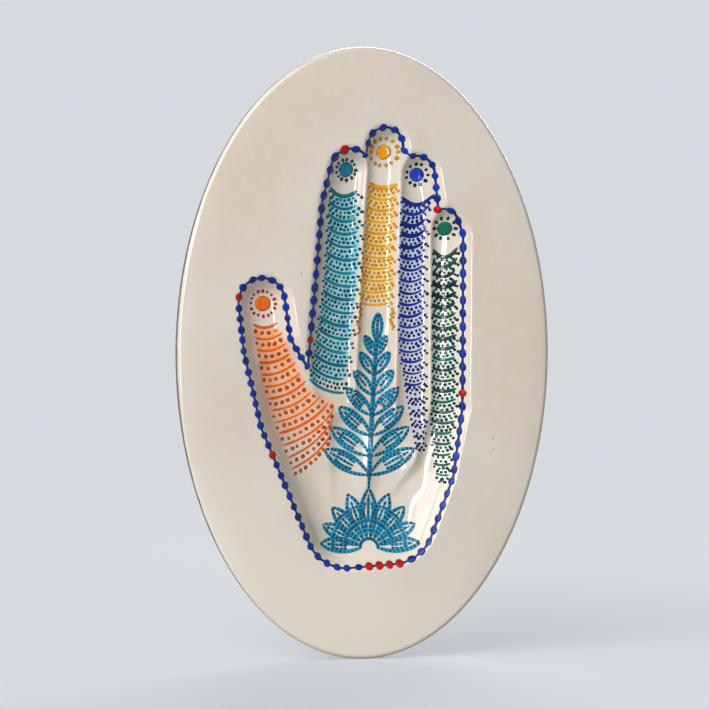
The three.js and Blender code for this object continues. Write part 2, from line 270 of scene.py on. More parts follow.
def bezier(start, corner, end, steps):
    """A quadratic curve as rows of points"""
    t = np.linspace(0, 1, steps)[:, None]
    start, corner, end = (np.array(point, float) for point in (start, corner, end))
    return start * (1 - t) ** 2 + 2 * corner * t * (1 - t) + end * t**2


def run_along(points):
    """Distances along rows of points, from 0"""
    return np.concatenate([[0], np.cumsum(np.linalg.norm(np.diff(points, axis=0), axis=1))])


def point_at(distance, run, points):
    """Places at distances along rows of points"""
    return np.stack([np.interp(distance, run, points[:, k]) for k in (0, 1)], axis=-1)


def section_depth(offset, depth, rounding):
    """Depth at an offset from the bead line, + outside, where the straight wall runs on above the face"""
    wall_foot = (-WALL_FLAT, BEAD_LINE_DEPTH + WALL_FLAT * WALL_SLOPE)
    corner = (BEAD_LINE_DEPTH - depth) / WALL_SLOPE
    floor = bezier((corner - rounding, depth), (corner, depth), wall_foot, SECTION_POINTS)
    inside = np.interp(offset, floor[:, 0], floor[:, 1])
    return np.where(offset > -WALL_FLAT, BEAD_LINE_DEPTH - offset * WALL_SLOPE, inside)


def soft_most(first, second):
    """The greater of two depths, with the crease between them rounded"""
    share = np.clip(0.5 + (first - second) / (2 * RIDGE_BLEND), 0, 1)
    return second + (first - second) * share + RIDGE_BLEND * share * (1 - share)


def hand_depth(x, y):
    """Depth of the hand hollow, 0 on the face around it"""
    depth = section_depth(leaning_distance(PALM_TABLE, PALM_LEAN, x, y), PALM_DEPTH, PALM_ROUNDING)
    for finger, lean in FINGER_LEANS.items():
        floor = LITTLE_DEPTH if finger == "little" else FINGER_DEPTH
        offset = leaning_distance(FINGER_TABLES[finger], lean, x, y)
        depth = soft_most(depth, section_depth(offset, floor, FINGER_ROUNDING))
    lip = np.clip(depth + LIP_DEPTH, 0, 2 * LIP_DEPTH) ** 2 / (4 * LIP_DEPTH)
    return np.where(depth > LIP_DEPTH, depth, lip)


def ripple(x, y, lengths):
    """A gentle unevenness between about -1 and 1, from waves of several lengths and headings"""
    total = np.zeros_like(x)
    for _ in range(RIPPLE_WAVES):
        length = between(lengths)
        heading = CHANCE.uniform(0, math.tau)
        phase = CHANCE.uniform(0, math.tau)
        along = x * math.cos(heading) + y * math.sin(heading)
        total += np.sin(along * math.tau / length + phase)
    return total / math.sqrt(RIPPLE_WAVES)


def blurred(field, spread):
    """A field smoothed by a bell curve of that spread, in field steps"""
    reach = int(3 * spread) + 1
    weights = np.exp(-0.5 * (np.arange(-reach, reach + 1) / spread) ** 2)
    weights /= weights.sum()
    for axis in (0, 1):
        field = sum(np.roll(field, shift - reach, axis) * w for shift, w in enumerate(weights))
    return field


def smooth_step(value, low, high):
    share = np.clip((value - low) / (high - low), 0, 1)
    return share * share * (3 - 2 * share)


field_x = np.arange(-HALF_WIDTH - FIELD_MARGIN, HALF_WIDTH + FIELD_MARGIN, FIELD_STEP)
field_y = np.arange(-HALF_HEIGHT - FIELD_MARGIN, HALF_HEIGHT + FIELD_MARGIN, FIELD_STEP)
plan_y, plan_x = np.meshgrid(field_y, field_x)
plan_depth = blurred(hand_depth(plan_x, plan_y), SOFTNESS / FIELD_STEP)
rim_share = np.hypot(plan_x / HALF_WIDTH, plan_y / HALF_HEIGHT)
calm = 1 - smooth_step(rim_share, 1 - RIM_CALM / HALF_WIDTH, 1)
plan_ripple = calm * FACE_RIPPLE * ripple(plan_x, plan_y, FACE_RIPPLE_LENGTHS)
hollow_share = smooth_step(plan_depth, 1, FINGER_DEPTH)
plan_ripple += hollow_share * HOLLOW_RIPPLE * ripple(plan_x, plan_y, HOLLOW_RIPPLE_LENGTHS)
rim_near = np.clip(((rim_share - 1) * HALF_WIDTH + FACE_EDGE_RADIUS) / RIM_ROLL + 1, 0, 1)
FIELD = FACE - plan_depth + plan_ripple - RIM_DROP * rim_near**2


def cubic_weights(share):
    """Weights of four neighbours for a smooth curve through them"""
    return (
        ((2 - share) * share - 1) * share / 2,
        ((3 * share - 5) * share * share + 2) / 2,
        ((4 - 3 * share) * share + 1) * share / 2,
        (share - 1) * share * share / 2,
    )


def height(x, y):
    """Height of the glaze over the wall at plan places"""
    column = (np.asarray(x, float) - field_x[0]) / FIELD_STEP
    row = (np.asarray(y, float) - field_y[0]) / FIELD_STEP
    first_column = np.clip(column.astype(int), 1, len(field_x) - 3)
    first_row = np.clip(row.astype(int), 1, len(field_y) - 3)
    column_weights = cubic_weights(column - first_column)
    row_weights = cubic_weights(row - first_row)
    total = 0
    for i, across in enumerate(column_weights):
        for j, up in enumerate(row_weights):
            total = total + across * up * FIELD[first_column + i - 1, first_row + j - 1]
    return total


def to_world(x, y, out):
    return np.stack([np.asarray(x), -np.asarray(out), np.asarray(y)], axis=-1) * MM


def drape(x, y, lift):
    """Points over the glaze, lifted along its own normal"""
    slope_x = (height(x + SLOPE_NUDGE, y) - height(x - SLOPE_NUDGE, y)) / (2 * SLOPE_NUDGE)
    slope_y = (height(x, y + SLOPE_NUDGE) - height(x, y - SLOPE_NUDGE)) / (2 * SLOPE_NUDGE)
    share = lift / np.sqrt(1 + slope_x**2 + slope_y**2)
    return to_world(x - slope_x * share, y - slope_y * share, height(x, y) + share)


# Meshes
def into_scene(name, data):
    """A new object in the scene"""
    thing = bpy.data.objects.new(name, data)
    bpy.context.scene.collection.objects.link(thing)
    return thing


def new_piece(name, points, faces, material, nodes=()):
    """A smooth mesh that rides on the plaque and stands for these nodes"""
    mesh = bpy.data.meshes.new(name)
    mesh.from_pydata(points, [], faces)
    mesh.polygons.foreach_set("use_smooth", [True] * len(mesh.polygons))
    mesh.materials.append(material)
    piece = into_scene(name, mesh)
    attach(piece, "root")
    if nodes:
        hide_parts(*nodes)
    return piece


def spaced(half, dense_half):
    """Places from -1 to 1, close together over the hand and growing apart towards the rim"""
    places = [0.0]
    step = DENSE_STEP
    while places[-1] < half:
        if places[-1] > dense_half:
            step = min(step * STEP_GROWTH, SPARSE_STEP)
        places.append(places[-1] + step)
    side = np.array(places[1:]) / places[-1]
    return np.concatenate([-side[::-1], [0], side])


def plaque_rings():
    """Inset from the outline and height of each ring from the face's edge round to the middle of the back"""
    quarter = np.linspace(0, math.pi / 2, EDGE_POINTS)
    rings = []
    edge_top = FACE - RIM_DROP
    for turn in quarter[1:]:
        drop = FACE_EDGE_RADIUS * (1 - math.cos(turn))
        rings.append((FACE_EDGE_RADIUS * (1 - math.sin(turn)), edge_top - drop))
    back = FOOT_HEIGHT
    side_foot = back + BACK_EDGE_RADIUS
    rings.append((SIDE_DRAFT / 2, (edge_top - FACE_EDGE_RADIUS + side_foot) / 2))
    for turn in quarter[::2]:
        inset = SIDE_DRAFT + BACK_EDGE_RADIUS * (1 - math.cos(turn))
        rings.append((inset, back + BACK_EDGE_RADIUS * (1 - math.sin(turn))))
    soft = FOOT_ROUNDING
    foot_side = [
        (-FOOT_DRAFT - 2 * soft, back),
        (-FOOT_DRAFT - soft / 2, back - soft / 4),
        (-FOOT_DRAFT + soft / 4, back - soft),
        (-soft / 4, soft),
        (soft / 4, soft / 4),
        (soft, 0),
    ]
    rings += [(FOOT_INSET + aside, out) for aside, out in foot_side]
    rings += [(FOOT_INSET + FOOT_WIDTH - aside, out) for aside, out in foot_side[::-1]]
    return rings


def build_plaque(material):
    across = spaced(HALF_WIDTH, DENSE_HALF_WIDTH)
    upward = spaced(HALF_HEIGHT, DENSE_HALF_HEIGHT)
    v, u = np.meshgrid(upward, across)
    disc_x = u * np.sqrt(1 - v**2 / 2)
    disc_y = v * np.sqrt(1 - u**2 / 2)
    x = disc_x * (HALF_WIDTH - FACE_EDGE_RADIUS)
    y = disc_y * (HALF_HEIGHT - FACE_EDGE_RADIUS)
    points = [to_world(x, y, height(x, y)).reshape(-1, 3)]
    columns, rows = u.shape
    index = np.arange(columns * rows).reshape(columns, rows)
    quads = np.stack([index[:-1, :-1], index[1:, :-1], index[1:, 1:], index[:-1, 1:]], axis=-1)
    faces = quads.reshape(-1, 4).tolist()

    edge = np.concatenate([index[:-1, 0], index[-1, :-1], index[:0:-1, -1], index[0, :0:-1]])
    edge_x, edge_y = disc_x.reshape(-1)[edge], disc_y.reshape(-1)[edge]
    count = len(edge)
    ring = edge
    total = columns * rows
    for inset, out in plaque_rings():
        x = edge_x * (HALF_WIDTH - inset)
        y = edge_y * (HALF_HEIGHT - inset)
        points.append(to_world(x, y, np.full(count, float(out))))
        next_ring = np.arange(total, total + count)
        total += count
        strip = np.stack([ring, next_ring, np.roll(next_ring, -1), np.roll(ring, -1)], axis=-1)
        faces += strip.tolist()
        ring = next_ring
    points.append(to_world([0.0], [0.0], [float(FOOT_HEIGHT)]))
    faces += [(int(a), total, int(b)) for a, b in zip(ring, np.roll(ring, -1))]
    plaque = new_piece("glazed_plaque", np.vstack(points).tolist(), faces, material,
                       ["plaque_body"])
    pierce(plaque)
    return plaque


def pierce(plaque):
    """Cuts the two wire holes through the foot ring"""
    inset = FOOT_INSET + FOOT_WIDTH / 2
    cutters = []
    for side in (-1, 1):
        angle = WIRE_HOLE_ANGLE * side
        bpy.ops.mesh.primitive_cylinder_add(
            vertices=HOLE_SIDES,
            radius=WIRE_HOLE_DIAMETER / 2 * MM,
            depth=2 * FOOT_WIDTH * MM,
            location=to_world(
                (HALF_WIDTH - inset) * math.sin(angle),
                (HALF_HEIGHT - inset) * math.cos(angle),
                FOOT_HEIGHT / 2,
            ),
            rotation=(0, angle, 0),
        )
        cutter = bpy.context.object
        cutters.append(cutter)
        cut = plaque.modifiers.new("wire_hole", "BOOLEAN")
        cut.operation = "DIFFERENCE"
        cut.solver = "MANIFOLD"
        cut.object = cutter
    evaluated = plaque.evaluated_get(bpy.context.evaluated_depsgraph_get())
    pierced = bpy.data.meshes.new_from_object(evaluated)
    plaque.modifiers.clear()
    plaque.data = pierced
    for cutter in cutters:
        bpy.data.objects.remove(cutter)


class Enamel:
    """Dabs and strokes of one colour, gathered into one mesh. Each is a closed low dome on the glaze."""

    DAB_SIDES = 16
    DAB_RINGS = np.array([(1.0, 0.3), (0.74, 0.72), (0.4, 0.94)])  # share of the radius, and of the lift
    RIB = np.array([(-1.0, 0.3), (-0.6, 0.8), (0.0, 1.0), (0.6, 0.8), (1.0, 0.3)])  # of half the width
    ROOT = -0.2  # the underside reaches this far into the glaze

    def __init__(self):
        self.x, self.y, self.lift, self.tone, self.body = [], [], [], [], []
        self.faces = []
        self.count = 0

    def add(self, x, y, lift, body, tone, faces):
        self.x.append(x)
        self.y.append(y)
        self.lift.append(lift)
        self.body.append(body)
        self.tone.append(np.full(len(x), float(tone)))
        self.faces += [[corner + self.count for corner in face] for face in faces]
        self.count += len(x)

    def dab(self, x, y, length, width, heading, fullness, lift, tone):
        """A dome from a lens (fullness near 1) to a round or squarish drop (2 and above)"""
        sides = self.DAB_SIDES
        turn = np.arange(sides) / sides * math.tau
        reach = (np.abs(np.cos(turn)) ** fullness + np.abs(np.sin(turn)) ** fullness) ** (-1 / fullness)
        along = reach * np.cos(turn) * length / 2
        across = reach * np.sin(turn) * width / 2
        plan_x = along * math.cos(heading) - across * math.sin(heading)
        plan_y = along * math.sin(heading) + across * math.cos(heading)
        shares, rises = self.DAB_RINGS.T
        xs = np.append(x + np.outer(shares, plan_x), [x, x])
        ys = np.append(y + np.outer(shares, plan_y), [y, y])
        lifts = np.append(np.repeat(rises * lift, sides), [lift, self.ROOT])
        bodies = np.append(np.repeat(1 - shares, sides), [1, 0])
        top = sides * len(shares)
        faces = []
        for i in range(sides):
            j = (i + 1) % sides
            faces.append((j, i, top + 1))
            for low in range(0, top - sides, sides):
                high = low + sides
                faces.append((low + i, low + j, high + j, high + i))
            faces.append((top - sides + i, top - sides + j, top))
        self.add(xs, ys, lifts, bodies, tone, faces)

    def stroke(self, line, half_widths, lift, tone):
        """A ribbon along rows of points, as wide as it says at each"""
        run = np.gradient(line, axis=0)
        run /= np.linalg.norm(run, axis=1)[:, None]
        left = np.stack([-run[:, 1], run[:, 0]], axis=1)
        shares, rises = self.RIB.T
        aside = left[:, None] * shares[:, None] * half_widths[:, None, None]
        points = np.concatenate([line[:, None] - aside, line[:, None]], axis=1)
        lifts = np.tile(np.append(rises * lift, self.ROOT), len(line))
        bodies = np.tile(np.append(1 - np.abs(shares), 0), len(line))
        width = len(shares) + 1
        total = len(lifts)
        faces = [tuple(range(width))]
        for k in range(0, total - width, width):
            for i in range(width):
                a, b = k + i, k + (i + 1) % width
                faces.append((a + width, b + width, b, a))
        faces.append(tuple(range(total - width, total))[::-1])
        self.add(points[..., 0].ravel(), points[..., 1].ravel(), lifts, bodies, tone, faces)

    def lay(self, name, material, slot, nodes=()):
        """Drapes all of it on the glaze as one piece"""
        x, y, lift = (np.concatenate(part) for part in (self.x, self.y, self.lift))
        piece = new_piece(name, drape(x, y, lift).tolist(), self.faces, material, nodes)
        for label, values in (("tone", self.tone), ("body", self.body)):
            layer = piece.data.attributes.new(label, "FLOAT", "POINT")
            layer.data.foreach_set("value", np.concatenate(values).astype(np.float32))


# Materials
IVORY = srgb(220, 209, 195)
IVORY_DEEP = srgb(213, 200, 184)
IVORY_MOTTLE = srgb(224, 216, 206)
# Painted light: a lighter ivory laid over the face towards the bottom and the lower left
IVORY_PAINTED_LIGHT = srgb(230, 219, 205)
PAINTED_LIGHT_SHARES = (-0.45, -0.9)  # painted light: the face is lightened towards the bottom and the lower left, this way across and up
PAINTED_LIGHT_START = 50
PAINTED_LIGHT_END = 105
PAINTED_LIGHT_MOST = 0.8
DARK_SPECK = srgb(96, 82, 70)
DARK_SPECKS = (9, 0.12, 0.3)  # pitch, share of the cells that have one, and radius
BROWN_SPECK = srgb(140, 122, 104)
BROWN_SPECKS = (5, 0.06, 0.16)
GLAZE_ROUGHNESS = (0.04, 0.085)
GLAZE_IOR = 1.52
CLAY = srgb(118, 110, 104)
CLAY_DEEP = srgb(104, 96, 90)
CLAY_ROUGHNESS = 0.85
SIDE_START = 0.955  # share of the oval's half sizes beyond which the side begins
SIDE_BLEND = 0.001
GLAZE_LINE = 2.7  # how far behind the face the glaze ends
GLAZE_RISE = 1.75  # how much nearer the face it ends at the far left
GLAZE_LINE_RAGGED = 0.5
GLAZE_LINE_BLEND = 0.3
BACK_FACING = (0.1, 0.2)  # how far a surface is turned to the wall where the back's clay sets in
ENAMEL_ROUGHNESS = (0.05, 0.1)
ENAMEL_IOR = 1.45
ENAMEL_SPECULAR = 0.28
ENAMEL_UNEVEN = 0.5
THIN_EDGE = 0.35  # share of a dab's radius
THIN_ENAMEL = (-0.45, -0.15)  # shift in tone at a dab's edge, and further in
MIX_SOCKETS = {"RGBA": (6, 7, 2), "FLOAT": (2, 3, 0)}  # a mix node's two inputs, and its output


def new_material(name):
    material = bpy.data.materials.new(name)
    material.use_nodes = True
    tree = material.node_tree
    shader = next(n for n in tree.nodes if n.type == "BSDF_PRINCIPLED")
    return material, tree, shader


def put(tree, value, socket):
    """Sets a socket to a plain value, or links another node's output to it"""
    if isinstance(value, bpy.types.NodeSocket):
        tree.links.new(value, socket)
    else:
        socket.default_value = value


def blend(tree, share, first, second, kind="RGBA"):
    """A colour between two colours, or a number between two numbers"""
    mix = tree.nodes.new("ShaderNodeMix")
    mix.data_type = kind
    at_first, at_second, result = MIX_SOCKETS[kind]
    put(tree, share, mix.inputs[0])
    put(tree, first, mix.inputs[at_first])
    put(tree, second, mix.inputs[at_second])
    return mix.outputs[result]


def sum_up(tree, operation, first, second, clamp=False):
    """One step of arithmetic"""
    math_node = tree.nodes.new("ShaderNodeMath")
    math_node.operation = operation
    math_node.use_clamp = clamp
    put(tree, first, math_node.inputs[0])
    put(tree, second, math_node.inputs[1])
    return math_node.outputs[0]


def spread(tree, value, low, high, to_low=0.0, to_high=1.0):
    """Maps a value's range onto another, smoothly"""
    ranged = tree.nodes.new("ShaderNodeMapRange")
    ranged.interpolation_type = "SMOOTHSTEP"
    put(tree, value, ranged.inputs["Value"])
    for label, number in (("From Min", low), ("From Max", high), ("To Min", to_low), ("To Max", to_high)):
        ranged.inputs[label].default_value = number
    return ranged.outputs["Result"]


def place_of(tree):
    return tree.nodes.new("ShaderNodeTexCoord").outputs["Object"]


def parts_of(tree, label):
    """The x, y and z of a place or of a normal, in the object's own space"""
    split = tree.nodes.new("ShaderNodeSeparateXYZ")
    tree.links.new(tree.nodes.new("ShaderNodeTexCoord").outputs[label], split.inputs[0])
    return split.outputs


def attribute(tree, name):
    node = tree.nodes.new("ShaderNodeAttribute")
    node.attribute_name = name
    return node.outputs


def noise(tree, size, detail=2.0):
    """Noise with features of about that size in millimetres"""
    texture = tree.nodes.new("ShaderNodeTexNoise")
    tree.links.new(place_of(tree), texture.inputs["Vector"])
    texture.inputs["Scale"].default_value = 1 / (size * MM)
    texture.inputs["Detail"].default_value = detail
    return texture.outputs["Fac"]


def patches(tree, size, to_low=0.0, to_high=1.0, detail=2.0):
    """Soft patches of about that size, between two values"""
    return spread(tree, noise(tree, size, detail), 0.3, 0.7, to_low, to_high)


def bump(tree, shader, value, depth, strength):
    node = tree.nodes.new("ShaderNodeBump")
    node.inputs["Strength"].default_value = strength
    node.inputs["Distance"].default_value = depth * MM
    tree.links.new(value, node.inputs["Height"])
    tree.links.new(node.outputs["Normal"], shader.inputs["Normal"])


def specks(tree, pitch, chosen, radius):
    """Small round specks, one in some of the cells of that pitch"""
    cells = tree.nodes.new("ShaderNodeTexVoronoi")
    tree.links.new(place_of(tree), cells.inputs["Vector"])
    cells.inputs["Scale"].default_value = 1 / (pitch * MM)
    lot = tree.nodes.new("ShaderNodeSeparateColor")
    tree.links.new(cells.outputs["Color"], lot.inputs[0])
    here = sum_up(tree, "LESS_THAN", lot.outputs["Red"], chosen)
    size = sum_up(tree, "MULTIPLY_ADD", lot.outputs["Green"], radius / pitch)
    size.node.inputs[2].default_value = radius / pitch / 2
    near = sum_up(tree, "SUBTRACT", size, cells.outputs["Distance"])
    dark = spread(tree, near, 0, radius / pitch / 2)
    return sum_up(tree, "MULTIPLY", dark, here)


def glaze_material():
    """Ivory glaze over the face and its rounded edge, with painted light that lightens it towards the bottom
    and the lower left, washed with colour under the bands, and clay behind
    """
    material, tree, shader = new_material("ivory_glaze")
    ivory = blend(tree, patches(tree, size=55), IVORY, IVORY_DEEP)
    mottle = spread(tree, noise(tree, size=6, detail=4), low=0.45, high=0.75, to_high=0.3)
    glaze_colour = blend(tree, mottle, ivory, IVORY_MOTTLE)
    across, _, upward = parts_of(tree, "Object")
    # Painted light: the glaze colour is lightened towards the bottom and the lower left of the face
    painted_light_along = sum_up(tree, "ADD", sum_up(tree, "MULTIPLY", across, PAINTED_LIGHT_SHARES[0]),
                    sum_up(tree, "MULTIPLY", upward, PAINTED_LIGHT_SHARES[1]))
    painted_light_share = spread(tree, painted_light_along, PAINTED_LIGHT_START * MM, PAINTED_LIGHT_END * MM, 0, PAINTED_LIGHT_MOST)
    glaze_colour = blend(tree, painted_light_share, glaze_colour, IVORY_PAINTED_LIGHT)
    wash = attribute(tree, "wash")
    uneven = patches(tree, size=2.4, to_low=0.6, to_high=1.15, detail=3)
    share = sum_up(tree, "MULTIPLY", wash["Alpha"], uneven, clamp=True)
    washed = blend(tree, share, glaze_colour, wash["Color"])
    fine = blend(tree, specks(tree, *DARK_SPECKS), washed, DARK_SPECK)
    speckled = blend(tree, specks(tree, *BROWN_SPECKS), fine, BROWN_SPECK)

    bare = bare_clay(tree)
    grit = spread(tree, noise(tree, size=1.6, detail=5), low=0.35, high=0.65)
    clay = blend(tree, grit, CLAY, CLAY_DEEP)
    tree.links.new(blend(tree, bare, speckled, clay), shader.inputs["Base Color"])
    gloss = patches(tree, 14, *GLAZE_ROUGHNESS)
    tree.links.new(blend(tree, bare, gloss, CLAY_ROUGHNESS, "FLOAT"), shader.inputs["Roughness"])
    shader.inputs["IOR"].default_value = GLAZE_IOR
    grain = blend(tree, bare, noise(tree, size=2.6, detail=1), noise(tree, size=0.9, detail=5), "FLOAT")
    bump(tree, shader, grain, depth=0.05, strength=0.25)
    return material


def bare_clay(tree):
    """1 behind the glaze line on the side, and all over the back"""
    x, y, z = parts_of(tree, "Object")
    across = sum_up(tree, "DIVIDE", x, HALF_WIDTH * MM)
    upward = sum_up(tree, "DIVIDE", z, HALF_HEIGHT * MM)
    squares = sum_up(tree, "MULTIPLY", across, across)
    squares = sum_up(tree, "ADD", squares, sum_up(tree, "MULTIPLY", upward, upward))
    at_side = spread(tree, squares, SIDE_START**2, SIDE_START**2 + SIDE_BLEND)
    ragged = sum_up(tree, "MULTIPLY", noise(tree, size=5, detail=3), GLAZE_LINE_RAGGED * MM)
    rise = sum_up(tree, "MULTIPLY", sum_up(tree, "MINIMUM", across, 0.0), -GLAZE_RISE * MM)
    level = sum_up(tree, "ADD", sum_up(tree, "ADD", y, ragged), rise)
    line = -(FACE - GLAZE_LINE) * MM
    behind = spread(tree, level, line, line + GLAZE_LINE_BLEND * MM)
    at_back = spread(tree, parts_of(tree, "Normal")["Y"], *BACK_FACING)
    return sum_up(tree, "MAXIMUM", sum_up(tree, "MULTIPLY", at_side, behind), at_back)


def enamel_material(name, pale, deep):
    """Brushed-on enamel: deeper where a dab is full, paler at its thin edge, with a little unevenness"""
    material, tree, shader = new_material(name)
    uneven = sum_up(tree, "MULTIPLY", noise(tree, size=1.1, detail=3), ENAMEL_UNEVEN)
    share = sum_up(tree, "ADD", attribute(tree, "tone")["Fac"], uneven)
    full = spread(tree, attribute(tree, "body")["Fac"], 0, THIN_EDGE, *THIN_ENAMEL)
    share = sum_up(tree, "ADD", share, full, clamp=True)
    tree.links.new(blend(tree, share, srgb(*pale), srgb(*deep)), shader.inputs["Base Color"])
    tree.links.new(patches(tree, 2, *ENAMEL_ROUGHNESS), shader.inputs["Roughness"])
    shader.inputs["IOR"].default_value = ENAMEL_IOR
    shader.inputs["Specular IOR Level"].default_value = ENAMEL_SPECULAR
    bump(tree, shader, noise(tree, size=0.7), depth=0.03, strength=0.3)
    return material


# The bead line, walked round counter-clockwise from the wrist
def hand_distance(x, y):
    return stroke_distances(HAND_TABLE, x, y).min(axis=-1)


def outward(point):
    nudge = WALK_NUDGE
    x = point[0] + np.array([nudge, -nudge, 0, 0])
    y = point[1] + np.array([0, 0, nudge, -nudge])
    right, left, up, down = hand_distance(x, y)
    slope = np.array([right - left, up - down])
    return slope / np.linalg.norm(slope)


def settle(point):
    for _ in range(SETTLE_STEPS):
        point = point - outward(point) * hand_distance(*point)
    return point


def walk_bead_line():
    heel_x, heel_y, heel_radius = BEAD_CIRCLES["heel_left"]
    start = settle(np.array([heel_x, heel_y - heel_radius]))
    line = [start]
    while len(line) < WALK_LEAST or np.linalg.norm(line[-1] - start) > WALK_STEP:
        out = outward(line[-1])
        line.append(settle(line[-1] + np.array([-out[1], out[0]]) * WALK_STEP))
    return np.array(line + [start])


def ease_notch(line):
    """The line with a soft bend where it crosses the notch between ring and middle finger"""
    steps = round(EASE_REACH / WALK_STEP)
    middle = np.argmin(np.linalg.norm(line - EASED_NOTCH, axis=1))
    before, notch, after = line[middle - steps], line[middle], line[middle + steps]
    bend = notch + EASE_SHARE * ((before + after) / 2 - notch)
    curve = bezier(before, bend, after, 2 * steps + 1)
    return np.concatenate([line[: middle - steps], curve, line[middle + steps + 1 :]])


bead_line = ease_notch(walk_bead_line())
bead_run = run_along(bead_line)


def on_bead_line(distance):
    """Plan places at distances along the bead line, which closes on itself"""
    return point_at(np.mod(distance, bead_run[-1]), bead_run, bead_line)


def nearest_on_bead_line(near):
    return bead_run[np.argmin(np.linalg.norm(bead_line - np.array(near), axis=1))]


def bead_heading(distance):
    before, after = on_bead_line(distance - WALK_STEP), on_bead_line(distance + WALK_STEP)
    return math.atan2(after[1] - before[1], after[0] - before[0])


def lay_beads():
    blue = enamel_material("enamel_bead_blue", *BEAD_BLUE)
    red = enamel_material("enamel_red", *BEAD_RED)
    firsts = [nearest_on_bead_line(near) for _, near, _ in RED_BEADS]
    for place, (name, _, count) in enumerate(RED_BEADS):
        for k in range(count):
            distance = firsts[place] + k * RED_BEAD_PITCH
            label = f"{name}_{k + 1}" if count > 1 else name
            drop = Enamel()
            size = RED_BEAD_DIAMETER * RED_BEAD_SIZES.get(name, 1) * between(RED_BEAD_VARY)
            drop.dab(*on_bead_line(distance), size, size * RED_BEAD_BREADTH, bead_heading(distance),
                     RED_BEAD_FULLNESS, BEAD_LIFT, RED_BEAD_TONE)
            drop.lay(f"red_drop_{label}", red, "enamel_red", [f"red_bead_{label}"])
        before_first, before_count = firsts[place - 1], RED_BEADS[place - 1][2]
        lay_string(*STRINGS[place], before_first, (before_count - 1) * RED_BEAD_PITCH, firsts[place], blue)


def lay_string(name, beads, breadth, thread_start, reds_run, end, material):
    """A thread from the red beads before it to the red bead after it, with blue beads in between"""
    string = Enamel()
    run = (end - thread_start) % bead_run[-1]
    thread = np.arange(0, run, THREAD_STEP)
    widths = THREAD_WIDTH / 2 * CHANCE.uniform(*THREAD_VARY, len(thread))
    string.stroke(on_bead_line(thread_start + thread), widths, THREAD_LIFT, THREAD_TONE)
    start = thread_start + reds_run
    gap = (run - reds_run) / (beads + 1)
    pins = [(0, 0)]
    for count, near in NOTCH_BEADS.get(name, ()):
        pins.append((count, (nearest_on_bead_line(near) - start) % bead_run[-1]))
    pins.append((beads + 1, run - reds_run))
    for i in range(1, beads + 1):
        distance = start + np.interp(i, *zip(*pins)) + CHANCE.normal(0, BEAD_STRAY)
        x, y = on_bead_line(distance)
        length = BEAD_FILL * gap * between(BEAD_LENGTH_VARY)
        turn = bead_heading(distance) + CHANCE.normal(0, BEAD_TWIST)
        width = BEAD_WIDTH * breadth * between(BEAD_WIDTH_VARY) * (1 - SIDE_TAPER * math.sin(turn))
        bend = bead_heading(distance + NOTCH_REACH) - bead_heading(distance - NOTCH_REACH)
        if math.cos(bend) < NOTCH_BEND:
            length, width = length * NOTCH_SHRINK, BEAD_WIDTH * NOTCH_SHRINK
        fullness = between(BEAD_FULLNESS)
        string.dab(x, y, length, width, turn, fullness, BEAD_LIFT, between(BEAD_TONES))
    string.lay(f"beads_{name}", material, "enamel_bead_blue", [f"bead_string_{name}"])


